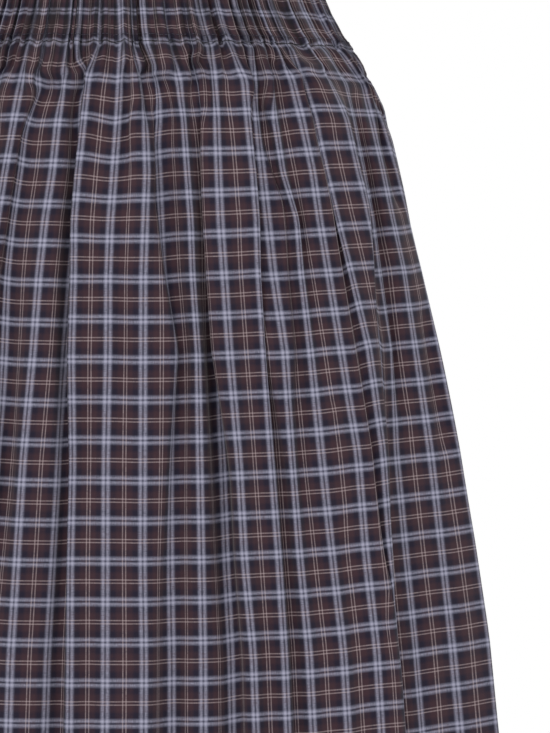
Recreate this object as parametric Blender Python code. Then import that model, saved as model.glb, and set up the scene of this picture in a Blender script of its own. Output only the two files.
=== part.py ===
"""Gathered midi skirt with an elastic waist casing, worn or filled out.

Metres, +Z up.  The origin is the centre of the waist opening, at half the
height of the casing.  The front faces -Y.  Every wall is worked out from the
cloth's own width: lines of the cloth are placed round the figure at each
height, and between two lines one fold takes up the cloth to spare.
"""
import math
import random

import bmesh
import bpy
import numpy as np

# Cloth sizes
CLOTH_ROUND = 1.632      # flat width of both panels together
REPEAT = 0.0204          # one check across, the unit in which folds are placed
PANEL_DROP = 0.745       # gather line to hem
CASING_HEIGHT = 0.035
CASING_THICK = 0.0034
WALL = 0.0013
HEM_TURN = 0.020
HEM_EXTRA = 0.0011       # the turned-up hem doubles the wall
SEAM_GAP = 0.0003
SIDE_LIFT = 0.012        # the hem hangs this much higher at the sides
GATHERS = 152            # all round, two columns of points each

SEAM_Z = -CASING_HEIGHT / 2
SAMPLES = 7296           # points in one worked-out row of cloth
HALF = GATHERS           # fine columns in one panel
COARSE = GATHERS // 2    # coarse columns in one panel

# The figure inside: drop below the gather line, half width, half depths and
# how square the section is (1 gives an ellipse, less gives a flatter front).
FIGURE = (
    # drop, half_width, depth_front, depth_back, square
    (-0.035, 0.1138, 0.083, 0.083, 0.87),
    (-0.020, 0.1198, 0.087, 0.088, 0.87),
    (0.000, 0.1300, 0.096, 0.099, 0.87),
    (0.012, 0.1400, 0.103, 0.107, 0.86),
    (0.025, 0.1470, 0.107, 0.112, 0.85),
    (0.045, 0.1545, 0.111, 0.119, 0.83),
    (0.085, 0.1655, 0.117, 0.128, 0.80),
    (0.120, 0.1730, 0.122, 0.134, 0.78),
    (0.185, 0.1865, 0.130, 0.142, 0.75),
    (0.255, 0.1983, 0.138, 0.149, 0.73),
    (0.330, 0.2110, 0.146, 0.155, 0.72),
    (0.385, 0.2180, 0.152, 0.160, 0.72),
    (0.560, 0.2350, 0.168, 0.175, 0.72),
    (0.745, 0.2510, 0.184, 0.190, 0.72),
)

# Where lines of the front's cloth lie across the form, in millimetres from
# the middle, at eleven drops. Between two lines the spare cloth goes into one
# fold.
LINE_DROPS = (0.003, 0.022, 0.044, 0.073, 0.100, 0.129, 0.172, 0.230, 0.284, 0.336, 0.745)
LINES = (
    # check, places at the eleven drops
    (-5, (-43, -47, -51, -56, -60, -65, -71, -77, -83, -89, -101)),
    (-3, (-22, -24, -27, -30, -34, -37, -40, -45, -48, -51, -62)),
    (-1, (-5, -11, -13, -16, -18, -18, -19, -18, -19, -19, -21)),
    (0, (8, 7, 6, 4, 2, 1, 1, 0, 0, 0, -1)),
    (1, (14, 18, 21, 22, 21, 20, 20, 20, 20, 21, 20)),
    (3, (34, 39, 42, 44, 46, 47, 50, 51, 52, 53, 55)),
    (5, (56, 58, 60, 61, 62, 64, 67, 72, 75, 80, 95)),
    (6, (67, 75, 77, 80, 82, 83, 86, 90, 94, 97, 113)),
    (7, (79, 80, 82, 85, 88, 91, 97, 101, 105, 110, 131)),
    (8, (86, 91, 92, 96, 104, 106, 111, 117, 123, 129, 151)),
    (9, (94, 101, 106, 112, 116, 121, 128, 137, 141, 147, 170)),
    (10, (100, 107, 114, 120, 126, 133, 143, 151, 155, 157, 180)),
    (12, (120, 131, 136, 142, 147, 150, 156, 158, 163, 168, 199)),
    (13, (128, 141, 146, 152, 157, 163, 169, 177, 183, 189, 216)),
)

# The fold after each of those lines: where its middle lies in the cloth at
# four drops, how far it laps to one side above and below (1 is a full lap
# toward +X, -1 toward -X), and how far its second line stands out.
FOLD_DROPS = (0.03, 0.09, 0.17, 0.24, 0.34)
FOLDS = (
    # middle at the five drops, lean above, lean below, out above, out below
    ((-4.05, -4.05, -4.0, -3.6, -4.0), 0.0, 0.0, 0.0, 0.0),
    ((-1.85, -1.80, -1.7, -1.5, -1.5), -0.45, -0.2, 0.0, 0.0),
    ((-0.50, -0.50, -0.5, -0.5, -0.5), 0.0, 0.0, 0.0, 0.0),
    ((0.30, 0.35, 0.4, 0.5, 0.5), -0.4, 0.0, 0.0, 0.0),
    ((2.00, 2.00, 2.4, 2.2, 1.95), 0.3, 0.0, 0.0, 0.0),
    ((3.80, 3.80, 3.8, 4.0, 4.1), -0.45, -0.1, 0.0, 0.0),
    ((5.50, 5.50, 5.5, 5.5, 5.5), 0.0, 0.0, 0.0, 0.0),
    ((6.50, 6.45, 6.25, 6.5, 6.5), 0.85, 0.1, -3.0, 0.0),
    ((7.35, 7.70, 7.6, 7.35, 7.5), 0.2, 0.0, 0.0, 0.0),
    ((8.45, 8.35, 8.3, 8.5, 8.5), 0.0, 0.0, 0.0, 0.0),
    ((9.75, 9.75, 9.7, 9.7, 9.8), -0.35, 0.0, 1.0, 1.5),
    ((11.5, 11.5, 11.1, 10.95, 10.6), 0.7, 0.9, -5.0, -7.0),
    ((12.35, 12.35, 12.3, 12.3, 12.3), 0.0, 0.0, -1.0, 0.0),
    ((13.6, 13.6, 13.6, 13.6, 13.6), 0.0, 0.0, 0.0, 0.0),
)


def ease(x):
    x = np.clip(x, 0.0, 1.0)
    return x * x * (3.0 - 2.0 * x)


def soft_step(x):
    x = min(1.0, max(0.0, x))
    return x * x * (3.0 - 2.0 * x)


def figure_at(drop):
    drops = [row[0] for row in FIGURE]
    return [float(np.interp(drop, drops, [row[i] for row in FIGURE])) for i in (1, 2, 3, 4)]


class Section:
    """The figure's smooth section at one drop, measured along its girth."""

    def __init__(self, drop):
        self.half_width, front, back, square = figure_at(drop)
        turn = np.linspace(-math.pi / 2, 1.5 * math.pi, 4001)
        across = np.sin(turn)
        along = np.cos(turn)
        self.x = self.half_width * np.sign(across) * np.abs(across) ** square
        depth = np.where(along > 0, front, back)
        self.y = -depth * np.sign(along) * np.abs(along) ** square
        step = np.hypot(np.diff(self.x), np.diff(self.y))
        self.run = np.concatenate(([0.0], np.cumsum(step)))
        self.front = float(self.run[2000])
        self.round = float(self.run[-1])

    def run_at(self, x, out):
        """Girth from the -X side to the front's point that shows at x when
        it stands out this far."""
        picks = np.linspace(0.04, 0.96, 400) * self.front
        shown = self.place(picks, np.full(picks.size, out))[0]
        return float(np.interp(x, shown, picks))

    def place(self, run, out):
        run = np.mod(run, self.round)
        reach = 0.004
        before = np.mod(run - reach, self.round)
        after = np.mod(run + reach, self.round)
        dx = np.interp(after, self.run, self.x) - np.interp(before, self.run, self.x)
        dy = np.interp(after, self.run, self.y) - np.interp(before, self.run, self.y)
        size = np.hypot(dx, dy)
        x = np.interp(run, self.run, self.x) + out * dy / size
        y = np.interp(run, self.run, self.y) - out * dx / size
        return x, y


def hidden_lines():
    """Cloth lines where the photograph does not reach, unevenly spaced."""
    chance = random.Random(11)
    found = []
    for start, end in ((-20.0, -5.0), (14.2, 20.0), (20.0, 40.0), (40.0, 60.0)):
        count = max(2, round((end - start) / 2.2))
        for index in range(count):
            share = index / count
            if index > 0:
                share = share + (chance.random() - 0.5) * 0.45 / count
            pull = (chance.random() - 0.5) * 0.5 / count if index > 0 else 0.0
            lean = (chance.random() - 0.5) * 1.3
            middle = 0.5 + (chance.random() - 0.5) * 0.2
            out = (chance.random() - 0.5) * 0.006 if index > 0 else 0.0
            found.append((start, end, share, pull, middle, lean, out))
    return found


HIDDEN = hidden_lines()


def lines_at(drop, section):
    """All cloth lines at this drop, in order round from the -X side seam:
    cloth, run, out, the fold's middle after it and its lean."""
    rows = []
    low = soft_step((drop - 0.10) / 0.12)
    stand = soft_step(drop / 0.05)
    width = section.half_width / figure_at(LINE_DROPS[0])[0] if drop < LINE_DROPS[0] else 1.0
    out = 0.0
    for (check, places), fold in zip(LINES, FOLDS):
        middles, lean_above, lean_below, out_above, out_below = fold
        if check == 10:
            check = 10 - 0.4 * soft_step((drop - 0.27) / 0.09)
        x = float(np.interp(drop, LINE_DROPS, places)) * width / 1000
        middle = float(np.interp(drop, FOLD_DROPS, middles))
        lean = lean_above + (lean_below - lean_above) * low
        rows.append([check * REPEAT, section.run_at(x, out), out, middle * REPEAT, lean])
        out = stand * (out_above + (out_below - out_above) * low) / 1000
    after = rows[-1][1] + float(np.interp(drop, (0.0, 0.03, 0.06, 0.12, 0.20),
                                          (0.35, 0.45, 0.62, 0.85, 0.96))) * 1.2 * REPEAT
    half = section.front
    side = (section.round + section.front) / 2
    ends = {-20.0: 0.0, -5.0: rows[0][1], 14.2: after, 20.0: half, 40.0: side, 60.0: section.round}
    grow = 0.25 + 0.75 * soft_step(drop / 0.25)
    tuck = 0.0050 * math.exp(-((drop - 0.036) / 0.016) ** 2)
    for start, end, share, pull, middle, lean, out in HIDDEN:
        check = start + (end - start) * share
        run = ends[start] + (ends[end] - ends[start]) * (share + pull * grow)
        out = out * soft_step(drop / 0.2) - tuck * (1.0 - soft_step((abs(check - 20.0) - 5.0) / 6.0))
        rows.append([check * REPEAT, run, out, middle, lean])
    rows.append([60.0 * REPEAT, section.round, 0.0, 0.5, 0.0])
    rows.sort()
    for row, after_row in zip(rows, rows[1:]):
        if row[0] < -5.01 * REPEAT or row[0] > 14.1 * REPEAT:
            row[3] = row[0] + row[3] * (after_row[0] - row[0])
    return rows


def calm(values, window):
    """Even out along the row, which closes on itself."""
    kernel = np.hanning(window + 2)[1:-1]
    kernel = kernel / kernel.sum()
    padded = np.concatenate((values[-window:], values, values[:window]))
    return np.convolve(padded, kernel, "same")[window:-window]


def gather_bends(cloth, drop):
    """The small folds under the gather line, fading down the cloth."""
    turn = 2 * math.pi * (cloth / CLOTH_ROUND + 0.25)
    fine = 1.0 + 0.16 * np.sin(5 * turn + 0.7) + 0.12 * np.sin(11 * turn + 2.1)
    fine = fine * np.cos(GATHERS * turn - math.pi / 2)
    mid = np.cos(83 * turn + 1.3 * np.sin(7 * turn + 0.4)) + 0.5 * np.cos(61 * turn + 1.9)
    fade = 0.026 + 0.012 * np.sin(11 * turn + 0.5) + 0.007 * np.sin(29 * turn)
    fine_part = 1.0 - ease((drop - 0.001) / fade)
    mid_part = 0.5 * soft_step(drop / 0.012) * (1.0 - ease((drop - 0.014) / (1.7 * fade)))
    return fine_part * fine + mid_part * mid, fine_part + mid_part * (1.0 - fine_part)


def cloth_row(drop):
    """One row of cloth: its run along the girth and its distance out at
    SAMPLES + 1 places from the -X side seam, each interval between two cloth
    lines keeping its own length of cloth."""
    section = Section(drop)
    step = CLOTH_ROUND / SAMPLES
    cloth = (np.arange(SAMPLES) + 0.5) * step - CLOTH_ROUND / 4
    rows = lines_at(drop, section)
    free, used = gather_bends(cloth, drop)
    edges = [int(round((row[0] + CLOTH_ROUND / 4) / step)) for row in rows]
    size = np.zeros(SAMPLES)
    heading = np.zeros(SAMPLES)
    for index in range(len(rows) - 1):
        a, b = edges[index], edges[index + 1]
        middle, lean = rows[index][3], rows[index][4]
        near = min(middle - rows[index][0], rows[index + 1][0] - middle)
        width = min(0.0105, near / (2.3 - 0.7 * abs(lean)))
        x = (cloth[a:b] - middle) / width
        pulse = (1.0 - abs(lean)) * x * np.exp(0.5 - 0.5 * x * x)
        pulse = pulse - lean * np.exp(-0.5 * (x * 0.9) ** 4)
        free[a:b] = free[a:b] + (1.0 - used[a:b]) * pulse
        across = rows[index + 1][1] - rows[index][1]
        outward = rows[index + 1][2] - rows[index][2]
        chord = math.hypot(across, outward)
        heading[a:b] = math.atan2(outward, across)
        low, high = 0.0, 3.0
        for _ in range(18):
            trial = 0.5 * (low + high)
            if float(np.cos(trial * free[a:b]).sum()) * step > chord:
                low = trial
            else:
                high = trial
        size[a:b] = 0.5 * (low + high)
    bend = calm(heading, 41) + calm(size, 27) * free
    run = np.zeros(SAMPLES + 1)
    out = np.zeros(SAMPLES + 1)
    for index in range(len(rows) - 1):
        a, b = edges[index], edges[index + 1]
        ramp = ease(np.arange(1, b - a + 1) / (b - a))
        for line, piece, place in ((run, np.cumsum(np.cos(bend[a:b]) * step), 1),
                                   (out, np.cumsum(np.sin(bend[a:b]) * step), 2)):
            start = rows[index][place]
            miss = rows[index + 1][place] - start - piece[-1]
            line[a + 1:b + 1] = start + piece + miss * ramp
    return section, run, out


def outer_line(drop, first, count):
    """The wall's outer points for one panel row: run, out and wall size.

    Where the cloth laps over itself, the wall follows what shows from
    outside, so that it never crosses itself.
    """
    section, run, out = cloth_row(drop)
    stride = SAMPLES // (2 * GATHERS)
    picks = (first + np.arange(count + 1) * (HALF // count)) * stride
    onward = np.maximum.accumulate(run)
    backward = np.minimum.accumulate(run[::-1])[::-1]
    even = 0.5 * (onward + backward)
    level = np.linspace(0.0, section.round, run.size)
    even = 0.9 * even + 0.1 * level
    chosen = even[picks]
    ends = run[[picks[0], picks[-1]]]
    share = (chosen - chosen[0]) / (chosen[-1] - chosen[0])
    chosen = ends[0] + share * (ends[1] - ends[0])
    bins = np.round(run / 0.0006).astype(int)
    top = np.full(bins.max() + 1, -1.0)
    np.maximum.at(top, np.clip(bins, 0, None), out)
    filled = np.nonzero(top > -0.9)[0]
    shown = np.interp(chosen, filled * 0.0006, top[filled])
    near = np.abs(chosen - run[picks]) < 0.0012
    lapped = (onward - backward)[picks] > 0.0004
    depth = np.where(near & ~lapped, out[picks], shown)
    slope = np.abs(np.diff(depth) / np.maximum(np.diff(chosen), 1e-5))
    steep = np.zeros(count + 1)
    steep[:-1] = np.maximum(steep[:-1], slope)
    steep[1:] = np.maximum(steep[1:], slope)
    wall = WALL * np.sqrt(1.0 + np.minimum(steep, 2.0) ** 2)
    return section, chosen, depth, wall


def height(drop, x, section_width):
    """Height of a point: the cloth rides up a little at the sides."""
    share = np.clip(np.abs(x) / section_width, 0.0, 1.0) ** 2
    return SEAM_Z - drop + SIDE_LIFT * share * math.sqrt(max(drop, 0.0) / PANEL_DROP) * min(1.0, max(drop, 0.0) / 0.1)


def cloth_material(name, colour):
    """A matt woven cotton in the check's mean colour."""
    material = bpy.data.materials.new(name)
    material.use_nodes = True
    shader = material.node_tree.nodes["Principled BSDF"]
    shader.inputs["Base Color"].default_value = (*colour, 1.0)
    shader.inputs["Roughness"].default_value = 0.85
    shader.inputs["Metallic"].default_value = 0.0
    return material


def keep(name, mesh_data, material):
    """Make one object of this mesh."""
    mesh = bpy.data.meshes.new(name)
    mesh_data.normal_update()
    mesh_data.to_mesh(mesh)
    mesh_data.free()
    mesh.materials.append(material)
    mesh.shade_smooth()
    mesh.set_sharp_from_angle(angle=math.radians(60))
    thing = bpy.data.objects.new(name, mesh)
    bpy.context.collection.objects.link(thing)
    return thing


FINE_DROPS = (SEAM_GAP / 2, 0.013, 0.031)
COARSE_DROPS = (0.055, 0.082, 0.118, 0.160, 0.212, 0.270, 0.335, 0.405, 0.485, 0.575, 0.665,
                PANEL_DROP - HEM_TURN - 0.001, PANEL_DROP - HEM_TURN + 0.001, PANEL_DROP)


def panel(name, first, side, material):
    """A gathered panel: a flat slab of cloth, each point then hung in place."""
    drops = FINE_DROPS + COARSE_DROPS
    rows = len(drops) - 1
    mesh = bmesh.new()
    bmesh.ops.create_grid(mesh, x_segments=COARSE, y_segments=rows, size=1.0)
    for vertex in mesh.verts:
        column = round((vertex.co.x + 1.0) * COARSE / 2)
        row = round((1.0 - vertex.co.y) * rows / 2)
        vertex.co = (column, -row, 0.0)
    fine = [edge for edge in mesh.edges
            if abs(edge.verts[0].co.y - edge.verts[1].co.y) < 0.5
            and edge.verts[0].co.y > -len(FINE_DROPS) + 0.5]
    bmesh.ops.subdivide_edges(mesh, edges=fine, cuts=1)
    bmesh.ops.triangulate(mesh, faces=mesh.faces[:], quad_method="FIXED")
    grown = bmesh.ops.extrude_face_region(mesh, geom=mesh.faces[:], use_keep_orig=True)
    for item in grown["geom"]:
        if isinstance(item, bmesh.types.BMVert):
            item.co.z = -1.0
    lines = []
    for index, drop in enumerate(drops):
        count = HALF if index < len(FINE_DROPS) else COARSE
        lines.append((drop, count) + outer_line(drop, first, count))
    for vertex in mesh.verts:
        row = round(-vertex.co.y)
        drop, count, section, run, out, wall = lines[row]
        column = round(vertex.co.x * count / COARSE)
        depth = out[column]
        if vertex.co.z < -0.5:
            depth = depth - wall[column]
            if drop > PANEL_DROP - HEM_TURN:
                depth = depth - HEM_EXTRA
        x, y = section.place(np.array([run[column]]), np.array([depth]))
        x, y = float(x[0]), float(y[0])
        if column in (0, count):
            y = side * SEAM_GAP / 2
        z = float(height(drop, np.array(x), figure_at(drop)[0]))
        vertex.co = (x, y, z)
    bmesh.ops.recalc_face_normals(mesh, faces=mesh.faces[:])
    return keep(name, mesh, material)


def casing(name, first, side, material):
    """Half of the waist casing: gathered cloth over the elastic, as a ring of
    cross sections that follow the panel's own gathers."""
    loop = (
        # drop, share of the casing's thickness inwards
        (-SEAM_GAP / 2, 0.0),
        (-CASING_HEIGHT + 0.002, 0.0),
        (-CASING_HEIGHT, 0.28),
        (-CASING_HEIGHT, 0.72),
        (-CASING_HEIGHT + 0.002, 1.0),
        (-SEAM_GAP / 2, 1.0),
    )
    mesh = bmesh.new()
    bmesh.ops.create_grid(mesh, x_segments=HALF, y_segments=len(loop) - 1, size=1.0)
    rows = len(loop) - 1
    for vertex in mesh.verts:
        column = round((vertex.co.x + 1.0) * HALF / 2)
        row = round((1.0 - vertex.co.y) * rows / 2)
        vertex.co = (column, -row, 0.0)
    ends = {(round(v.co.x), round(-v.co.y)): v for v in mesh.verts}
    for column in range(HALF):
        mesh.faces.new((ends[(column, 0)], ends[(column + 1, 0)],
                        ends[(column + 1, rows)], ends[(column, rows)]))
    for column in (0, HALF):
        mesh.faces.new([ends[(column, row)] for row in range(rows + 1)])
    lines = {}
    for drop, _ in loop:
        if drop not in lines:
            lines[drop] = outer_line(drop, first, HALF)
    for (column, row), vertex in ends.items():
        drop, share = loop[row]
        section, run, out, wall = lines[drop]
        depth = out[column] * (1.0 - 0.45 * share) - share * CASING_THICK - share * 0.0008
        x, y = section.place(np.array([run[column]]), np.array([depth]))
        x, y = float(x[0]), float(y[0])
        if column in (0, HALF):
            y = side * SEAM_GAP / 2
        vertex.co = (x, y, SEAM_Z - drop)
    bmesh.ops.triangulate(mesh, faces=mesh.faces[:], quad_method="FIXED")
    bmesh.ops.recalc_face_normals(mesh, faces=mesh.faces[:])
    return keep(name, mesh, material)


def build():
    """Make the whole skirt."""
    for thing in list(bpy.data.objects):
        bpy.data.objects.remove(thing)
    check = cloth_material("check_cotton", (0.105, 0.085, 0.105))
    gathered = cloth_material("check_cotton_casing", (0.095, 0.078, 0.098))
    panel("front_panel", 0, -1.0, check)
    panel("back_panel", HALF, 1.0, check)
    casing("casing_front", 0, -1.0, gathered)
    casing("casing_back", HALF, 1.0, gathered)


build()
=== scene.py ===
import math
import random

import bmesh
import bpy
import numpy as np
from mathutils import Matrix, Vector


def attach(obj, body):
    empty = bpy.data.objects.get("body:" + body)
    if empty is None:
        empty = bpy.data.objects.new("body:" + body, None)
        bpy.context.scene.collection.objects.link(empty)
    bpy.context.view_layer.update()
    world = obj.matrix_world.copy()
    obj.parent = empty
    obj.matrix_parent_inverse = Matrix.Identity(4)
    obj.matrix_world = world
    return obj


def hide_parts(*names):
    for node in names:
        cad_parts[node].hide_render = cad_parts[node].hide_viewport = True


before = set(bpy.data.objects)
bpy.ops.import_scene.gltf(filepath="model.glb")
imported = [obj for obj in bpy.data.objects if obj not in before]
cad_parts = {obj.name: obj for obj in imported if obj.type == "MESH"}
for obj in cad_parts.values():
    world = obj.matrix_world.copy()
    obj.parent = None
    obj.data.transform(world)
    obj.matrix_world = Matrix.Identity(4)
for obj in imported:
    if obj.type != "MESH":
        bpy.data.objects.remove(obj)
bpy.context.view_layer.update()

# Sizes in metres. The front faces -Y, and the origin is the centre of the
# waist opening at half the height of the casing.
CLOTH_ROUND = 1.632
REPEAT = 0.0204
WEFT_REPEAT = 0.0226
PANEL_DROP = 0.745
CASING_HEIGHT = 0.035
CLOTH_THICK = 0.0006
HEM_TURN = 0.020
SIDE_LIFT = 0.012
GATHERS = 152
SEAM_Z = -CASING_HEIGHT / 2
SEAM_OUT = -0.003        # how far the side seams stand in
SEAM_GAP = 0.00003       # each piece stops this short of a seam
HEM_EDGE = 0.0006        # height of the rounded edge of the turned hem
HEM_INSET = 0.0012       # how far in the turned-up hem lies
SAMPLES = 7296           # points in one worked-out row of cloth
COLUMNS = 912
HALF = COLUMNS // 2
ROWS = 104
STRIDE = SAMPLES // COLUMNS
STEP = CLOTH_ROUND / SAMPLES

# The gather seam: how far it is drawn in, how soon that and its rise and fall
# die away from it, and the groove along each side seam.
PINCH = 0.0012
PINCH_FADE = 0.0026
RISE_FADE = 0.008
GROOVE_DEPTH = 0.0009
GROOVE_WIDTH = 0.0016

# The casing's straight walls, and the rounded top edge above them.
CASING_WALL = CASING_HEIGHT - 0.0022
TOP_EDGE = 0.0020

# Places in the cloth, across, from the -X side seam all the way round.
ACROSS = np.arange(COLUMNS + 1) * CLOTH_ROUND / COLUMNS - CLOTH_ROUND / 4

# Painted shade: how much darker the finely crimped cloth at the elastic is coloured, beside the open
# cloth, for the shadow in its crimps.
CRIMP_PAINTED_SHADE = 0.96

# Where in the check the casing's foot is cut, down the cloth.
CASING_CHECK = 0.0010

# This fades out between 12 and 42 mm below it.
SEAM_AHEAD = 0.0019

# The figure inside: drop below the gather line, half width, half depths and
# how square the section is (1 gives an ellipse, less gives a flatter front).
FIGURE = (
    # drop, half_width, depth_front, depth_back, square
    (-0.035, 0.1142, 0.083, 0.083, 0.87),
    (-0.020, 0.1194, 0.087, 0.088, 0.87),
    (-0.007, 0.1260, 0.093, 0.095, 0.87),
    (0.000, 0.1328, 0.096, 0.099, 0.87),
    (0.006, 0.1374, 0.100, 0.103, 0.87),
    (0.012, 0.1414, 0.103, 0.107, 0.86),
    (0.018, 0.1440, 0.105, 0.110, 0.86),
    (0.025, 0.1462, 0.107, 0.112, 0.85),
    (0.034, 0.1505, 0.109, 0.115, 0.84),
    (0.044, 0.1556, 0.111, 0.119, 0.83),
    (0.052, 0.1588, 0.112, 0.121, 0.82),
    (0.085, 0.1670, 0.117, 0.128, 0.80),
    (0.120, 0.1730, 0.122, 0.134, 0.78),
    (0.185, 0.1865, 0.130, 0.142, 0.75),
    (0.255, 0.1983, 0.138, 0.149, 0.73),
    (0.330, 0.2110, 0.146, 0.155, 0.72),
    (0.385, 0.2180, 0.152, 0.160, 0.72),
    (0.560, 0.2350, 0.168, 0.175, 0.72),
    (0.745, 0.2510, 0.184, 0.190, 0.72),
)

# Where lines of the front's cloth lie across the form, in millimetres from
# the middle, at eleven drops. Between two lines the spare cloth goes into one
# fold.
LINE_DROPS = (0.003, 0.022, 0.044, 0.073, 0.100, 0.129, 0.172, 0.230, 0.284, 0.336, 0.745)
LINES = (
    # check, places at the eleven drops
    (-5, (-43, -47, -51, -56, -60, -65, -71, -77, -83, -89, -101)),
    (-3, (-22, -24, -27, -30, -34, -37, -40, -45, -48, -51, -62)),
    (-1, (-5, -11, -13, -16, -18, -18, -19, -18, -19, -19, -21)),
    (0, (8, 7, 6, 4, 2, 1, 1, 0, 0, 0, -1)),
    (1, (14, 18, 21, 22, 21, 20, 20, 20, 20, 21, 20)),
    (3, (34, 39, 42, 44, 46, 47, 50, 51, 52, 53, 55)),
    (5, (56, 58, 60, 61, 62, 64, 67, 72, 75, 80, 95)),
    (6, (67, 75, 77, 80, 82, 83, 86, 90, 94, 97, 113)),
    (7, (79, 80, 82, 85, 88, 91, 97, 101, 105, 110, 131)),
    (8, (86, 91, 92, 96, 104, 106, 111, 117, 123, 129, 151)),
    (9, (94, 101, 106, 112, 116, 121, 128, 137, 141, 147, 170)),
    (10, (100, 107, 114, 120, 126, 133, 143, 151, 155, 157, 180)),
    (12, (120, 131, 136, 142, 147, 150, 156, 158, 163, 168, 199)),
    (13, (128, 141, 146, 152, 157, 163, 169, 177, 183, 189, 224)),
    (14, (131, 144, 153, 161, 167, 174, 183, 194, 203, 210, 247)),
)

# The fold after each of those lines: where its middle lies in the cloth at
# five drops, how far it laps to one side above and below (1 is a full lap
# toward +X, -1 toward -X), and how far its second line stands out above and
# below, in millimetres.
FOLD_DROPS = (0.03, 0.09, 0.17, 0.24, 0.34)
FOLDS = (
    # middle at the five drops, lean above, lean below, out above, out below
    ((-4.05, -4.05, -4.0, -3.6, -4.0), 0.55, 0.15, 0.0, 4.0),
    ((-1.85, -1.80, -1.7, -1.5, -1.5), -0.45, -0.5, 0.0, 0.0),
    ((-0.50, -0.50, -0.5, -0.5, -0.5), 0.0, 0.0, 0.0, 0.0),
    ((0.30, 0.35, 0.4, 0.5, 0.5), -0.4, 0.0, 0.0, 0.0),
    ((2.00, 2.00, 2.4, 2.2, 1.95), 0.3, 0.0, 0.0, -3.0),
    ((3.80, 3.80, 3.8, 4.0, 4.1), -0.45, -0.1, 0.0, 0.0),
    ((5.50, 5.50, 5.5, 5.5, 5.5), 0.0, 0.0, 0.0, 0.0),
    ((6.50, 6.45, 6.25, 6.5, 6.5), 0.85, 0.1, -3.0, 0.0),
    ((7.35, 7.70, 7.6, 7.35, 7.5), 0.2, 0.0, 0.0, 0.0),
    ((8.45, 8.35, 8.3, 8.5, 8.5), 0.0, 0.0, 0.0, 0.0),
    ((9.75, 9.75, 9.7, 9.7, 9.8), -0.35, 0.0, 1.0, 1.5),
    ((11.5, 11.5, 11.1, 10.95, 10.6), 0.7, 0.9, -5.0, -7.0),
    ((12.35, 12.35, 12.3, 12.3, 12.3), 0.0, 0.0, -1.0, 0.0),
    ((13.6, 13.6, 13.6, 13.6, 13.6), 0.0, 0.0, 1.5, 9.5),
    ((14.8, 14.8, 14.8, 14.8, 14.8), 0.3, 0.3, 0.0, 0.0),
)


def ease(x):
    x = np.clip(x, 0.0, 1.0)
    return x * x * (3.0 - 2.0 * x)


def soft_step(x):
    x = min(1.0, max(0.0, x))
    return x * x * (3.0 - 2.0 * x)


def figure_at(drop):
    drops, *columns = zip(*FIGURE)
    return [float(np.interp(drop, drops, column)) for column in columns]


class Section:
    """The figure's smooth section at one drop, measured along its girth."""

    def __init__(self, drop):
        self.half_width, front, back, square = figure_at(drop)
        turn = np.linspace(-math.pi / 2, 1.5 * math.pi, 4001)
        across = np.sin(turn)
        along = np.cos(turn)
        self.x = self.half_width * np.sign(across) * np.abs(across) ** square
        depth = np.where(along > 0, front, back)
        self.y = -depth * np.sign(along) * np.abs(along) ** square
        step = np.hypot(np.diff(self.x), np.diff(self.y))
        self.run = np.concatenate(([0.0], np.cumsum(step)))
        self.front = float(self.run[2000])
        self.round = float(self.run[-1])

    def run_at(self, x, out):
        """Girth from the -X side to the front's point that shows at x when
        it stands out this far."""
        picks = np.linspace(0.04, 0.96, 400) * self.front
        shown = self.place(picks, np.full(picks.size, out))[0]
        return float(np.interp(x, shown, picks))

    def place(self, run, out):
        run = np.mod(run, self.round)
        reach = 0.004
        before = np.mod(run - reach, self.round)
        after = np.mod(run + reach, self.round)
        dx = np.interp(after, self.run, self.x) - np.interp(before, self.run, self.x)
        dy = np.interp(after, self.run, self.y) - np.interp(before, self.run, self.y)
        size = np.hypot(dx, dy)
        x = np.interp(run, self.run, self.x) + out * dy / size
        y = np.interp(run, self.run, self.y) - out * dx / size
        return x, y


# The cloth just behind the right outline stands in by this.
BEHIND_EDGE = 0.0045


def hidden_lines():
    """Cloth lines where the photograph does not reach, unevenly spaced."""
    chance = random.Random(11)
    found = []
    for start, end in ((-20.0, -5.0), (14.0, 20.0), (20.0, 40.0), (40.0, 60.0)):
        count = max(2, round((end - start) / 2.2))
        for index in range(count):
            share = index / count
            if index > 0:
                share = share + (chance.random() - 0.5) * 0.45 / count
            pull = (chance.random() - 0.5) * 0.5 / count if index > 0 else 0.0
            lean = (chance.random() - 0.5) * 1.3
            middle = 0.5 + (chance.random() - 0.5) * 0.2
            out = (chance.random() - 0.5) * 0.006 if index > 0 else SEAM_OUT
            if start == 14.0:
                out = out - BEHIND_EDGE
            if index > 0 or start != 14.0:
                found.append((start, end, share, pull, middle, lean, out))
    return found


HIDDEN = hidden_lines()


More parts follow.
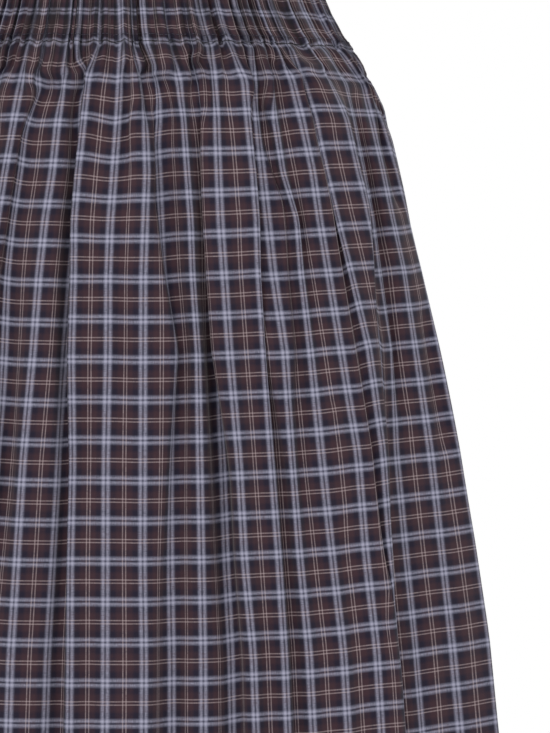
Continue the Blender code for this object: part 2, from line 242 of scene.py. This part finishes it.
def lines_at(drop, section):
    """All cloth lines at this drop, in order round from the -X side seam:
    cloth, run, out, the fold's middle after it and its lean."""
    rows = []
    low = soft_step((drop - 0.10) / 0.12)
    stand = soft_step(drop / 0.05)
    width = section.half_width / figure_at(LINE_DROPS[0])[0] if drop < LINE_DROPS[0] else 1.0
    out = 0.0
    for (check, places), fold in zip(LINES, FOLDS):
        middles, lean_above, lean_below, out_above, out_below = fold
        if check == 10:  # this line lies further toward -X low down
            check = 10 - 0.4 * soft_step((drop - 0.27) / 0.09)
        x = float(np.interp(drop, LINE_DROPS, places)) * width / 1000
        middle = float(np.interp(drop, FOLD_DROPS, middles))
        lean = lean_above + (lean_below - lean_above) * low
        rows.append([check * REPEAT, section.run_at(x, out), out, middle * REPEAT, lean])
        out = stand * (out_above + (out_below - out_above) * low) / 1000
    half = section.front
    side = (section.round + section.front) / 2
    ends = {
        -20.0: 0.0,
        -5.0: rows[0][1],
        14.0: rows[-1][1],
        20.0: half,
        40.0: side,
        60.0: section.round,
    }
    grow = 0.25 + 0.75 * soft_step(drop / 0.25)
    deep = soft_step(drop / 0.2)
    for start, end, share, pull, middle, lean, out in HIDDEN:
        check = start + (end - start) * share
        run = ends[start] + (ends[end] - ends[start]) * (share + pull * grow)
        rows.append([check * REPEAT, run, out * deep, middle, lean])
    rows.append([60.0 * REPEAT, section.round, SEAM_OUT * deep, 0.5, 0.0])
    rows.sort()
    for row, after_row in zip(rows, rows[1:]):
        if row[0] < -5.01 * REPEAT or row[0] > 14.1 * REPEAT:
            row[3] = row[0] + row[3] * (after_row[0] - row[0])
    return rows


def calm(values, window):
    """Even out along the row, which closes on itself."""
    kernel = np.hanning(window + 2)[1:-1]
    kernel = kernel / kernel.sum()
    padded = np.concatenate((values[-window:], values, values[:window]))
    return np.convolve(padded, kernel, "same")[window:-window]


# Gathers that start in the casing, and wider folds that start below it: how
# many, half width, size, and the drops where they start and end.
SMALL_KINDS = (
    (GATHERS, 0.0027, 1.0, (-0.1, -0.1), (0.012, 0.034)),
    (66, 0.0052, 0.8, (0.0, 0.012), (0.030, 0.078)),
)


def small_folds():
    """The gathers at the seam and the wider folds they run into: place in
    the cloth, width, size and the drops between which each is there."""
    chance = random.Random(5)
    found = []
    for count, width, size, start, reach in SMALL_KINDS:
        for index in range(count):
            place = (index + 0.5 + (chance.random() - 0.5) * 0.75) / count
            share = chance.random()
            found.append((
                place * CLOTH_ROUND,
                width * (0.7 + 0.6 * chance.random()),
                size * (0.55 + 0.9 * share) * (1.0 if chance.random() < 0.85 else -0.7),
                start[0] + (start[1] - start[0]) * chance.random(),
                reach[0] + (reach[1] - reach[0]) * (0.5 * share + 0.5 * chance.random()),
            ))
    return found


SMALL_FOLDS = small_folds()


def gather_bends(cloth, drop):
    """The small folds under the gather line, and what they leave of the
    large ones, at this drop."""
    bend = np.zeros(cloth.size)
    for place, width, size, start, end in SMALL_FOLDS:
        if drop > end:
            continue
        weight = size * (1.0 - soft_step((drop - 0.3 * end) / (0.7 * end)))
        if start > -0.05:
            weight = weight * soft_step((drop - start) / 0.014)
        if weight == 0.0:
            continue
        first = int((place - 3.6 * width) / STEP)
        picks = np.arange(first, int((place + 3.6 * width) / STEP) + 1)
        x = (picks * STEP + 0.5 * STEP - place) / width
        np.add.at(bend, picks % cloth.size, weight * x * np.exp(0.5 - 0.5 * x * x))
    turn = 2 * math.pi * (cloth / CLOTH_ROUND + 0.25)
    fade = 0.030 + 0.012 * np.sin(11 * turn + 0.5) + 0.007 * np.sin(29 * turn)
    return bend, 1.0 - ease((drop - 0.002) / fade)


# How far folds may reach out or in, and what share of that is lost beside a
# side seam: drops, then values.
REACH = ((0.0, 0.03, 0.07, 0.13, 0.22), (0.0052, 0.0056, 0.011, 0.022, 0.08))
BESIDE_SEAM = ((0.0, 0.012, 0.03, 0.06), (0.45, 0.82, 0.82, 0.68))


def cloth_row(drop):
    """One row of cloth: its run along the girth and its distance out at
    SAMPLES + 1 places from the -X side seam, each interval between two cloth
    lines keeping its own length of cloth."""
    section = Section(drop)
    cloth = (np.arange(SAMPLES) + 0.5) * STEP - CLOTH_ROUND / 4
    rows = lines_at(drop, section)
    free, used = gather_bends(cloth, drop)
    edges = [int(round((row[0] + CLOTH_ROUND / 4) / STEP)) for row in rows]
    size = np.zeros(SAMPLES)
    heading = np.zeros(SAMPLES)
    for index in range(len(rows) - 1):
        a, b = edges[index], edges[index + 1]
        middle, lean = rows[index][3], rows[index][4]
        near = min(middle - rows[index][0], rows[index + 1][0] - middle)
        width = min(0.0105, near / (2.3 - 0.7 * abs(lean)))
        x = (cloth[a:b] - middle) / width
        pulse = (1.0 - abs(lean)) * x * np.exp(0.5 - 0.5 * x * x)
        pulse = pulse - lean * np.exp(-0.5 * (x * 0.9) ** 4)
        free[a:b] = free[a:b] + (1.0 - used[a:b]) * pulse
        across = rows[index + 1][1] - rows[index][1]
        outward = rows[index + 1][2] - rows[index][2]
        chord = math.hypot(across, outward)
        heading[a:b] = math.atan2(outward, across)
        low, high = 0.0, 3.0
        for _ in range(18):
            trial = 0.5 * (low + high)
            if float(np.cos(trial * free[a:b]).sum()) * STEP > chord:
                low = trial
            else:
                high = trial
        size[a:b] = 0.5 * (low + high)
    most = 1.6 - 0.3 * soft_step(drop / 0.012) + 1.55 * soft_step((drop - 0.03) / 0.07)
    bend = calm(heading, 41) + np.clip(calm(size, 27) * free, -most, most)
    run = np.zeros(SAMPLES + 1)
    out = np.full(SAMPLES + 1, rows[0][2])
    for index in range(len(rows) - 1):
        a, b = edges[index], edges[index + 1]
        ramp = ease(np.arange(1, b - a + 1) / (b - a))
        pieces = (
            (run, np.cumsum(np.cos(bend[a:b]) * STEP), 1),
            (out, np.cumsum(np.sin(bend[a:b]) * STEP), 2),
        )
        for line, piece, place in pieces:
            start = rows[index][place]
            miss = rows[index + 1][place] - start - piece[-1]
            line[a + 1:b + 1] = start + piece + miss * ramp
    places = np.arange(SAMPLES + 1) * STEP
    beside = float(np.interp(drop, *BESIDE_SEAM)) * np.exp(-(from_side_seam(places) / 0.11) ** 2)
    reach = float(np.interp(drop, *REACH)) * (1.0 - beside)
    out = reach * np.tanh(out / reach) + rumples(places, drop)
    return section, run, out


RUMPLES = (
    # shallow slanting creases: how many go round, slant, phase
    (31, 14.0, 0.3),
    (47, -23.0, 2.1),
    (67, 31.0, 4.0),
    (89, -17.0, 1.2),
    (113, 45.0, 5.1),
    (151, -38.0, 0.9),
)


def rumples(cloth, drop):
    """Slight unevenness of the hanging cloth, in metres outward."""
    turn = 2 * math.pi * cloth / CLOTH_ROUND
    line = np.zeros(cloth.size)
    for count, slant, phase in RUMPLES:
        patch = 0.5 + 0.5 * np.sin(5 * turn + 0.7 * count + 9.0 * drop)
        line = line + patch * np.sin(count * turn + slant * drop + phase) * 0.022 / count
    return line * soft_step(drop / 0.06)


def from_side_seam(cloth):
    """Cloth from each place to the nearer side seam, counted from a seam."""
    apart = np.mod(cloth, CLOTH_ROUND / 2)
    return np.minimum(apart, CLOTH_ROUND / 2 - apart)


def seam_waves(across):
    """How unevenly the gather seam is drawn in, and how it rises and falls."""
    turn = 2 * math.pi * across / CLOTH_ROUND
    drawn = 1.0 + 0.55 * np.sin(71 * turn + 1.7 * np.sin(17 * turn))
    drawn = drawn + 0.45 * np.sin(133 * turn + 2.2)
    rise = 0.5 * np.sin(59 * turn + 1.1 * np.sin(23 * turn))
    rise = rise + 0.5 * np.sin(109 * turn + 0.6)
    pinned = 1.0 - np.exp(-(from_side_seam(across + CLOTH_ROUND / 4) / 0.01) ** 2)
    return drawn, 0.0007 * rise * pinned


# How much lower the check sits after each fold than before it, in
# millimetres at six drops: creases run a little askew to the threads.
STEP_DROPS = (0.022, 0.045, 0.090, 0.130, 0.215, 0.370)
STEPS = (
    # a row for the fold after each line, in order
    (3.5, 3.2, 1.6, 1.6, 0.5, 0.0),
    (-4.3, -4.3, -3.8, -2.2, -1.9, 0.0),
    (1.1, 3.2, 1.1, 0.0, 0.0, 0.0),
    (-0.5, -3.2, -0.5, 0.5, 0.5, 0.0),
    (-1.1, -2.2, -1.6, -1.1, -0.5, -0.5),
    (-1.1, -0.5, -1.1, -0.8, -1.6, -1.9),
    (0.0, 0.0, -0.4, -0.6, 0.0, 0.0),
    (0.5, 3.5, 2.4, 2.0, 0.3, 0.0),
    (0.0, -0.6, -0.3, -0.3, -0.3, -0.5),
    (-0.8, -1.7, -0.5, -0.5, -1.0, -1.0),
    (-0.8, -3.3, -2.5, -3.0, -2.4, 0.4),
    (1.1, 2.7, 4.4, 4.6, 1.4, -4.8),
    (0.0, 0.0, -0.8, -0.9, -0.3, -1.0),
    (0.0, 0.0, -1.0, -1.5, -1.0, -1.0),
    (0.0, 0.0, 0.0, 0.0, 0.0, 0.0),
)


def check_shifts(drops, across):
    """How far down the check sits, by the steps at the folds."""
    rows = []
    checks = across / REPEAT
    for drop in drops:
        line = np.zeros(across.size)
        for fold, steps in zip(FOLDS, STEPS):
            middle = float(np.interp(drop, FOLD_DROPS, fold[0]))
            size = float(np.interp(drop, STEP_DROPS, steps)) * soft_step(drop / 0.012) / 1000
            line = line + size * ease(0.5 + (checks - middle) / 0.9)
        zero = np.interp(0.0, checks, line)
        line = (line - zero) * (1.0 - ease((checks - 14.5) / 6.0)) * ease((checks + 12.0) / 6.0)
        rows.append(line)
    return np.array(rows)


def height(drop, x, half_width):
    """Z at this drop: the cloth hangs a little higher toward the sides."""
    share = np.clip(np.abs(x) / half_width, 0.0, 1.0) ** 2
    down = max(drop, 0.0)
    return SEAM_Z - drop + SIDE_LIFT * share * math.sqrt(down / PANEL_DROP) * min(1.0, down / 0.1)


def hang(drops, inward):
    """Points of the cloth all round for each drop, each row held in by its
    own distance."""
    points = []
    drawn, rise = seam_waves(ACROSS)
    for drop, less in zip(drops, inward):
        section, run, out = cloth_row(drop)
        seam = np.min([np.abs(run - end) for end in (0.0, section.front, section.round)], axis=0)
        out = out - GROOVE_DEPTH * np.exp(-(seam / GROOVE_WIDTH) ** 2)
        less = less * (drawn if drop < 0.02 else 1.0)
        x, y = section.place(run[::STRIDE], out[::STRIDE] - less)
        z = height(drop, x, section.half_width) + rise * math.exp(-drop / RISE_FADE)
        points.append(np.stack((x, y, z), axis=1))
    return np.array(points)


def sheet_mesh(name, points, down, first, last):
    """A panel of cloth from rows of points, with its check places as a map."""
    rows = points.shape[0] - 1
    columns = last - first
    mesh = bmesh.new()
    bmesh.ops.create_grid(mesh, x_segments=columns, y_segments=rows, size=1.0)
    layer = mesh.loops.layers.uv.new("cloth")
    keys = {}
    for vertex in mesh.verts:
        column = round((vertex.co.x + 1.0) * columns / 2)
        row = round((1.0 - vertex.co.y) * rows / 2)
        keys[vertex] = (row, first + column)
    for vertex, (row, column) in keys.items():
        vertex.co = points[row, column]
    for face in mesh.faces:
        for loop in face.loops:
            row, column = keys[loop.vert]
            loop[layer].uv = (ACROSS[column], down[row, column])
    data = bpy.data.meshes.new(name)
    mesh.to_mesh(data)
    mesh.free()
    data.shade_smooth()
    thing = bpy.data.objects.new(name, data)
    bpy.context.collection.objects.link(thing)
    return thing


def outward(thing, weight):
    """Turn the faces away from the skirt's own axis, each counted by the
    weight of its centre."""
    mesh = bmesh.new()
    mesh.from_mesh(thing.data)
    score = 0.0
    for face in mesh.faces:
        c = face.calc_center_median()
        score = score + (face.normal.x * c.x + face.normal.y * c.y) * weight(c)
    if score < 0:
        bmesh.ops.reverse_faces(mesh, faces=mesh.faces[:])
    mesh.to_mesh(thing.data)
    mesh.free()


def even_weight(centre):
    return 1.0


def foot_weight(centre):
    """Counts the casing's outer wall alone, near its foot."""
    return math.hypot(centre.x, centre.y) ** 8 if centre.z < SEAM_Z + 0.004 else 0.0


def thicken(thing, thick):
    solid = thing.modifiers.new("wall", "SOLIDIFY")
    solid.thickness = thick
    solid.offset = -1.0
    solid.use_even_offset = False


def ramp(tree, name, stops, source):
    """Colours along a value: place and colour of each stop."""
    node = tree.nodes.new("ShaderNodeValToRGB")
    node.label = name
    node.color_ramp.interpolation = "LINEAR"
    elements = node.color_ramp.elements
    while len(elements) > 1:
        elements.remove(elements[-1])
    elements[0].position = stops[0][0]
    elements[0].color = (*stops[0][1], 1.0)
    for place, colour in stops[1:]:
        element = elements.new(place)
        element.color = (*colour, 1.0)
    tree.links.new(source, node.inputs["Fac"])
    return node.outputs["Color"]


# Linear colours of the yarns.
BLUE = (0.330, 0.324, 0.420)
NAVY = (0.0095, 0.0066, 0.0192)
BROWN = (0.0400, 0.0170, 0.0235)
TAN = (0.310, 0.240, 0.244)

# The band's edges are bluer than its middle: powers of the band's strength in
# red, green and blue.
EDGE_POWERS = (1.0, 0.95, 0.90)

# A blue band from its middle out: place in half a repeat and how blue it is.
WARP_BAND = (
    (0.0, 0.08),
    (0.040, 0.45),
    (0.085, 1.0),
    (0.150, 1.0),
    (0.195, 0.62),
    (0.245, 0.20),
    (0.30, 0.0),
)
WEFT_BAND = (
    (0.0, 0.02),
    (0.035, 0.25),
    (0.080, 0.98),
    (0.135, 1.0),
    (0.180, 0.62),
    (0.230, 0.26),
    (0.28, 0.0),
)

# Each tan line's width, half the gap between the two, and how the line fades,
# in half repeats.
TAN_LINE = 0.040
WARP_GAP = 0.064
WEFT_GAP = 0.060
TAN_SOFT = 0.022

# The weft band's middle lies this far below the gather line.
WEFT_START = 0.0022


def stripe_stops(band, gap):
    """Half a repeat of the stripes: 0 is the blue band's middle, 1 is the
    middle of the tan pair."""
    stops = []
    yarns = list(zip(NAVY, BLUE, EDGE_POWERS))
    for place, share in band:
        stops.append((place, [dark + share ** power * (pale - dark) for dark, pale, power in yarns]))
    stops.extend((
        (0.48, NAVY),
        (0.64, BROWN),
        (1.0 - gap - TAN_LINE - TAN_SOFT, BROWN),
        (1.0 - gap - TAN_LINE, TAN),
        (1.0 - gap, TAN),
        (1.0 - gap + TAN_SOFT, BROWN),
        (1.0, BROWN),
    ))
    return stops


def number(tree, operation, a, b=None):
    """A sum in the material, from sockets or plain numbers."""
    node = tree.nodes.new("ShaderNodeMath")
    node.operation = operation
    for index, value in enumerate((a, b)):
        if value is None:
            continue
        if isinstance(value, (int, float)):
            node.inputs[index].default_value = value
        else:
            tree.links.new(value, node.inputs[index])
    return node.outputs[0]


def half_repeat(tree, value, repeat, start):
    """How far a place in the cloth is from the nearest band's middle: 0 at
    the middle and 1 half a repeat from it."""
    value = number(tree, "SUBTRACT", value, start)
    value = number(tree, "DIVIDE", value, repeat)
    value = number(tree, "ADD", value, 0.5)
    value = number(tree, "FRACT", value)
    value = number(tree, "SUBTRACT", value, 0.5)
    value = number(tree, "ABSOLUTE", value)
    return number(tree, "MULTIPLY", value, 2.0)


def map_range(tree, value, low, high, at_low, at_high):
    node = tree.nodes.new("ShaderNodeMapRange")
    limits = {"From Min": low, "From Max": high, "To Min": at_low, "To Max": at_high}
    for slot, limit in limits.items():
        node.inputs[slot].default_value = limit
    tree.links.new(value, node.inputs["Value"])
    return node.outputs[0]


def drawn_out_noise(tree, where, across, down, detail):
    """Noise over the cloth's map, by how fine it is across and down."""
    stretch = tree.nodes.new("ShaderNodeMapping")
    stretch.inputs["Scale"].default_value = (across, down, 1.0)
    tree.links.new(where, stretch.inputs["Vector"])
    noise = tree.nodes.new("ShaderNodeTexNoise")
    noise.inputs["Scale"].default_value = 1.0
    noise.inputs["Detail"].default_value = detail
    tree.links.new(stretch.outputs[0], noise.inputs["Vector"])
    return noise.outputs["Fac"]


def check_material(name):
    """Woven check from the cloth's own map, in metres, with painted shade on the crimped cloth at
    the elastic.
    """
    material = bpy.data.materials.new(name)
    material.use_nodes = True
    tree = material.node_tree
    shader = tree.nodes["Principled BSDF"]
    cloth = tree.nodes.new("ShaderNodeUVMap")
    cloth.uv_map = "cloth"
    where = cloth.outputs[0]
    split = tree.nodes.new("ShaderNodeSeparateXYZ")
    tree.links.new(where, split.inputs[0])
    across = split.outputs[0]
    down = split.outputs[1]
    warp_at = half_repeat(tree, across, REPEAT, 0.0)
    weft_at = half_repeat(tree, down, WEFT_REPEAT, WEFT_START)
    warp = ramp(tree, "warp", stripe_stops(WARP_BAND, WARP_GAP), warp_at)
    weft = ramp(tree, "weft", stripe_stops(WEFT_BAND, WEFT_GAP), weft_at)

    # Threads of warp and weft lie on top in turn, too fine to see singly.
    warp_threads = drawn_out_noise(tree, where, 2600.0, 300.0, 2.0)
    weft_threads = drawn_out_noise(tree, where, 300.0, 2600.0, 2.0)
    balance = number(tree, "SUBTRACT", warp_threads, weft_threads)
    balance = number(tree, "MULTIPLY", balance, 0.7)
    balance = number(tree, "ADD", balance, 0.5)
    mix = tree.nodes.new("ShaderNodeMix")
    mix.data_type = "RGBA"
    tree.links.new(balance, mix.inputs["Factor"])
    tree.links.new(weft, mix.inputs[6])
    tree.links.new(warp, mix.inputs[7])

    # Painted shade: the crimped cloth at the elastic is coloured darker, most in a noise of fine
    # creases just below the seam, for shadow in crimps too fine for the mesh.
    crimp_painted_shade = map_range(tree, down, -0.004, 0.050, CRIMP_PAINTED_SHADE, 1.0)
    crease_shade_noise = drawn_out_noise(tree, where, 330.0, 28.0, 1.0)
    # depth is how far the painted shade darkens each fine crease, near fades it out below the seam,
    # and kept is the share of colour left.
    depth = map_range(tree, crease_shade_noise, 0.36, 0.52, 0.62, 0.0)
    near = map_range(tree, down, 0.002, 0.030, 1.0, 0.0)
    kept = number(tree, "SUBTRACT", 1.0, number(tree, "MULTIPLY", depth, near))
    painted_shade_colour = tree.nodes.new("ShaderNodeVectorMath")
    painted_shade_colour.operation = "SCALE"
    tree.links.new(mix.outputs[2], painted_shade_colour.inputs[0])
    tree.links.new(number(tree, "MULTIPLY", crimp_painted_shade, kept), painted_shade_colour.inputs["Scale"])
    tree.links.new(painted_shade_colour.outputs[0], shader.inputs["Base Color"])
    shader.inputs["Roughness"].default_value = 0.82
    shader.inputs["Specular IOR Level"].default_value = 0.25
    shader.inputs["Sheen Weight"].default_value = 0.10
    shader.inputs["Sheen Roughness"].default_value = 0.5
    bump = tree.nodes.new("ShaderNodeBump")
    bump.inputs["Strength"].default_value = 0.25
    bump.inputs["Distance"].default_value = 0.0002
    tree.links.new(balance, bump.inputs["Height"])
    tree.links.new(bump.outputs[0], shader.inputs["Normal"])
    return material


def panel_rows():
    """Rows close together under the gathers and wider towards the hem, then
    back up inside for the turned hem: their drops and how far in they are."""
    t = np.linspace(0.0, 1.0, ROWS + 1)
    drops = list((PANEL_DROP - HEM_EDGE) * (0.16 * t + 0.84 * t ** 1.9))
    drops[0] = SEAM_GAP
    inward = [PINCH * math.exp(-(drop / PINCH_FADE) ** 2) for drop in drops]
    drops = drops + [PANEL_DROP, PANEL_DROP - HEM_EDGE]
    inward = inward + [0.0005, 0.0011]
    for share in (0.3, 0.65, 1.0):
        drops.append(PANEL_DROP - HEM_EDGE - share * (HEM_TURN - HEM_EDGE))
        inward.append(HEM_INSET)
    return drops, inward


def check_places(points, drops, across):
    """Down the cloth in metres, from the fall of its own length."""
    step = np.linalg.norm(np.diff(points, axis=0), axis=2)
    fall = np.concatenate((np.zeros((1, points.shape[1])), np.cumsum(step, axis=0)))
    size = points.shape[1] - 1
    wave = np.fft.rfft(fall[:, :size], axis=1)
    order = np.arange(wave.shape[1])
    wave = wave * np.exp(-0.5 * (order * 0.035 * 2 * math.pi / CLOTH_ROUND) ** 2)
    even = np.fft.irfft(wave, size, axis=1)
    even = np.concatenate((even, even[:, :1]), axis=1)
    level = np.maximum.accumulate(np.array(drops))[:, None]
    turned = level - np.array(drops)[:, None]
    level = level + turned
    plain = 1.035 * level + 0.0025 * (1 - np.exp(-level / 0.02))
    extra = even - even.mean(axis=1, keepdims=True)
    pucker = 0.0011 * puckers(across)[None, :] * np.exp(-level / 0.013)
    plain = plain + SEAM_AHEAD * (1.0 - ease((level - 0.012) / 0.030))
    return plain + 0.35 * extra - check_shifts(drops, across) + pucker


def puckers(across):
    """How the gathers push the check up and down beside the seam."""
    turn = 2 * math.pi * across / CLOTH_ROUND
    found = 0.9 * np.sin(97 * turn + 1.4 * np.sin(13 * turn))
    found = found + 0.7 * np.sin(163 * turn + 2.0 * np.sin(19 * turn))
    return found + 0.6 * np.sin(41 * turn + 0.8)


def half_round(points, first):
    """The front or back half of the rows, its ends brought to the seams."""
    part = points.copy()
    side = -1.0 if first == 0 else 1.0
    part[:, first, 1] = side * SEAM_GAP
    part[:, first + HALF, 1] = side * SEAM_GAP
    return part


def build_panels(material):
    drops, inward = panel_rows()
    points = hang(drops, inward)
    down = check_places(points, drops, ACROSS)
    panels = (
        ("front_panel_cloth", 0, "front_panel"),
        ("back_panel_cloth", HALF, "back_panel"),
    )
    for name, first, node in panels:
        part = half_round(points, first)
        thing = sheet_mesh(name, part, down, first, first + HALF)
        outward(thing, even_weight)
        thicken(thing, CLOTH_THICK)
        thing.data.materials.append(material)
        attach(thing, "root")
        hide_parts(node)


# The casing's foot stands out by this, and its walls keep these shares of the
# gathers' depth.
FOOT_OUT = 0.0008
KEPT_OUTSIDE = 0.88
KEPT_INSIDE = 0.81


def casing_profile():
    """The casing cut through: up the outside, over the top and down inside.
    Drop, distance out and how much of the gathers is kept."""
    profile = []
    for t in np.linspace(0.0, 1.0, 11):
        drop = -SEAM_GAP - t ** 1.4 * CASING_WALL
        bulge = 0.0014 * math.sin(math.pi * t ** 0.8)
        profile.append((drop, FOOT_OUT + bulge, KEPT_OUTSIDE))
    for t in np.linspace(0.15, 1.0, 6):
        turn = math.pi * t
        drop = -CASING_HEIGHT + TOP_EDGE - TOP_EDGE * math.sin(turn)
        kept = KEPT_OUTSIDE - 0.07 * t
        profile.append((drop, FOOT_OUT - 0.0018 * (1 - math.cos(turn)), kept))
    for t in np.linspace(0.15, 1.0, 5):
        drop = -CASING_HEIGHT + TOP_EDGE + t * CASING_WALL
        profile.append((drop, -0.0028, KEPT_INSIDE))
    return profile


def build_casings(material):
    """The casing: cloth up the outside, over the top and down inside."""
    drawn, rise = seam_waves(ACROSS)
    points = []
    for drop, more, keep in casing_profile():
        section, run, out = cloth_row(min(drop, -SEAM_GAP))
        near = math.exp(-((drop + 0.0002) / PINCH_FADE) ** 2) if keep > 0.87 else 0.0
        x, y = section.place(run[::STRIDE], out[::STRIDE] * keep + more - PINCH * near * drawn)
        z = SEAM_Z - drop + rise * math.exp(drop / RISE_FADE)
        points.append(np.stack((x, y, z), axis=1))
    points = np.array(points)
    step = np.linalg.norm(np.diff(points, axis=0), axis=2).mean(axis=1)
    fall = np.concatenate(([0.0], np.cumsum(step)))
    close = 0.0007 * (0.35 + np.exp(-fall / 0.009))
    down = CASING_CHECK - fall[:, None] * 1.16 + puckers(ACROSS)[None, :] * close[:, None]
    casings = (
        ("casing_front_cloth", 0, "casing_front"),
        ("casing_back_cloth", HALF, "casing_back"),
    )
    for name, first, node in casings:
        part = half_round(points, first)
        thing = sheet_mesh(name, part, down, first, first + HALF)
        outward(thing, foot_weight)
        thing.data.materials.append(material)
        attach(thing, "root")
        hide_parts(node)


# Stitches: length and gap in points of a row, thread radius and how far its
# centre lies out of the cloth.
STITCH_ON = 11
STITCH_OFF = 3
THREAD_RADIUS = 0.00021
THREAD_OUT = 0.6 * THREAD_RADIUS
THREAD_SIDES = 5


def stitch_line(name, line, material):
    """A row of separate stitches along a closed line of places."""
    mesh = bmesh.new()
    for start in range(0, len(line) - STITCH_ON, STITCH_ON + STITCH_OFF):
        spots = line[start:start + STITCH_ON + 1:2]
        rings = []
        for index, spot in enumerate(spots):
            before = spots[max(0, index - 1)]
            after = spots[min(len(spots) - 1, index + 1)]
            along = Vector(after - before).normalized()
            out = along.cross(Vector((0, 0, 1))).normalized()
            if out.x * spot[0] + out.y * spot[1] < 0:
                out = -out
            up = out.cross(along)
            share = index / (len(spots) - 1)
            sink = 0.0004 * (2 * share - 1.0) ** 4
            size = THREAD_RADIUS * (0.55 + 0.45 * math.sin(math.pi * share))
            centre = Vector(spot) - out * sink
            ring = []
            for side in range(THREAD_SIDES):
                turn = 2 * math.pi * side / THREAD_SIDES
                spoke = math.cos(turn) * out + math.sin(turn) * up
                ring.append(mesh.verts.new(centre + size * spoke))
            rings.append(ring)
        for ring, later in zip(rings, rings[1:]):
            for side in range(THREAD_SIDES):
                after = (side + 1) % THREAD_SIDES
                mesh.faces.new((ring[side], ring[after], later[after], later[side]))
        mesh.faces.new(rings[0])
        mesh.faces.new(rings[-1][::-1])
    bmesh.ops.recalc_face_normals(mesh, faces=mesh.faces[:])
    data = bpy.data.meshes.new(name)
    mesh.to_mesh(data)
    mesh.free()
    data.shade_smooth()
    thing = bpy.data.objects.new(name, data)
    bpy.context.collection.objects.link(thing)
    thing.data.materials.append(material)
    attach(thing, "root")


def thread_material():
    material = bpy.data.materials.new("thread_dark")
    material.use_nodes = True
    tree = material.node_tree
    shader = tree.nodes["Principled BSDF"]
    where = tree.nodes.new("ShaderNodeTexCoord")
    noise = tree.nodes.new("ShaderNodeTexNoise")
    noise.inputs["Scale"].default_value = 900.0
    tree.links.new(where.outputs["Object"], noise.inputs["Vector"])
    stops = ((0.3, (0.022, 0.018, 0.030)), (0.7, (0.050, 0.042, 0.062)))
    colour = ramp(tree, "thread", stops, noise.outputs["Fac"])
    tree.links.new(colour, shader.inputs["Base Color"])
    shader.inputs["Roughness"].default_value = 0.6
    return material


def build_stitches():
    """One row of stitches at the top of the turned hem, one on the casing."""
    thread = thread_material()
    hem_drop = PANEL_DROP - HEM_TURN + 0.002
    section, run, out = cloth_row(hem_drop)
    x, y = section.place(run, out + THREAD_OUT)
    z = height(hem_drop, x, section.half_width)
    stitch_line("hem_stitches", np.stack((x, y, z), axis=1), thread)
    drop, more, keep = casing_profile()[2]
    section, run, out = cloth_row(drop)
    places = np.arange(SAMPLES + 1) * CLOTH_ROUND / SAMPLES - CLOTH_ROUND / 4
    rise = np.interp(places, ACROSS, seam_waves(ACROSS)[1])
    x, y = section.place(run, out * keep + more + THREAD_OUT)
    z = SEAM_Z - drop + rise * math.exp(drop / RISE_FADE)
    stitch_line("casing_stitches", np.stack((x, y, z), axis=1), thread)


# The floor's height and radius, and the camera: its place, and what the
# picture's taller side spans at the skirt's axis.
FLOOR_Z = -1.14
FLOOR_RADIUS = 2.2
CAMERA_PLACE = (0.0916, -3.2, -0.1962)
VIEW_HEIGHT = 0.4141
SENSOR = 36.0

ROOM = (
    # share of the way up the surroundings, colour
    (0.25, (0.62, 0.62, 0.63)),
    (0.42, (1.0, 1.0, 1.0)),
    (0.62, (1.0, 1.0, 1.0)),
    (0.85, (0.50, 0.50, 0.51)),
)


def area_light(name, place, aim, size, power):
    data = bpy.data.lights.new(name, "AREA")
    data.shape = "RECTANGLE"
    data.size = size
    data.size_y = size
    data.energy = power
    thing = bpy.data.objects.new(name, data)
    bpy.context.collection.objects.link(thing)
    thing.location = place
    thing.rotation_euler = (Vector(aim) - Vector(place)).to_track_quat("-Z", "Y").to_euler()


def build_stage():
    mesh = bmesh.new()
    bmesh.ops.create_circle(mesh, cap_ends=True, segments=96, radius=FLOOR_RADIUS)
    data = bpy.data.meshes.new("floor")
    mesh.to_mesh(data)
    mesh.free()
    floor = bpy.data.objects.new("floor", data)
    bpy.context.collection.objects.link(floor)
    for vertex in data.vertices:
        vertex.co.z = FLOOR_Z
    material = bpy.data.materials.new("floor_pale")
    material.use_nodes = True
    shader = material.node_tree.nodes["Principled BSDF"]
    shader.inputs["Base Color"].default_value = (0.82, 0.82, 0.82, 1)
    shader.inputs["Roughness"].default_value = 0.8
    data.materials.append(material)
    world = bpy.data.worlds.new("studio")
    bpy.context.scene.world = world
    world.use_nodes = True
    tree = world.node_tree
    where = tree.nodes.new("ShaderNodeTexCoord")
    split = tree.nodes.new("ShaderNodeSeparateXYZ")
    tree.links.new(where.outputs["Generated"], split.inputs[0])
    upward = number(tree, "ADD", number(tree, "MULTIPLY", split.outputs[2], 0.5), 0.5)
    grade = ramp(tree, "room", ROOM, upward)
    tree.links.new(grade, tree.nodes["Background"].inputs["Color"])
    tree.nodes["Background"].inputs["Strength"].default_value = 1.0
    area_light("key", (-1.3, -2.4, 1.9), (0.05, 0, -0.25), 1.1, 44)
    area_light("fill", (2.4, -2.2, 0.2), (0.05, 0, -0.3), 1.6, 10)
    bpy.context.scene.view_settings.view_transform = "Standard"
    bpy.context.scene.view_settings.look = "None"


def build_camera():
    data = bpy.data.cameras.new("camera")
    data.sensor_width = SENSOR
    data.lens = SENSOR * -CAMERA_PLACE[1] / VIEW_HEIGHT
    data.clip_end = 50
    camera = bpy.data.objects.new("camera", data)
    bpy.context.collection.objects.link(camera)
    camera.location = CAMERA_PLACE
    camera.rotation_euler = (math.pi / 2, 0, 0)
    bpy.context.scene.camera = camera


def main():
    build_camera()
    cloth = check_material("check_cloth")
    build_panels(cloth)
    build_casings(cloth)
    build_stitches()
    build_stage()


main()
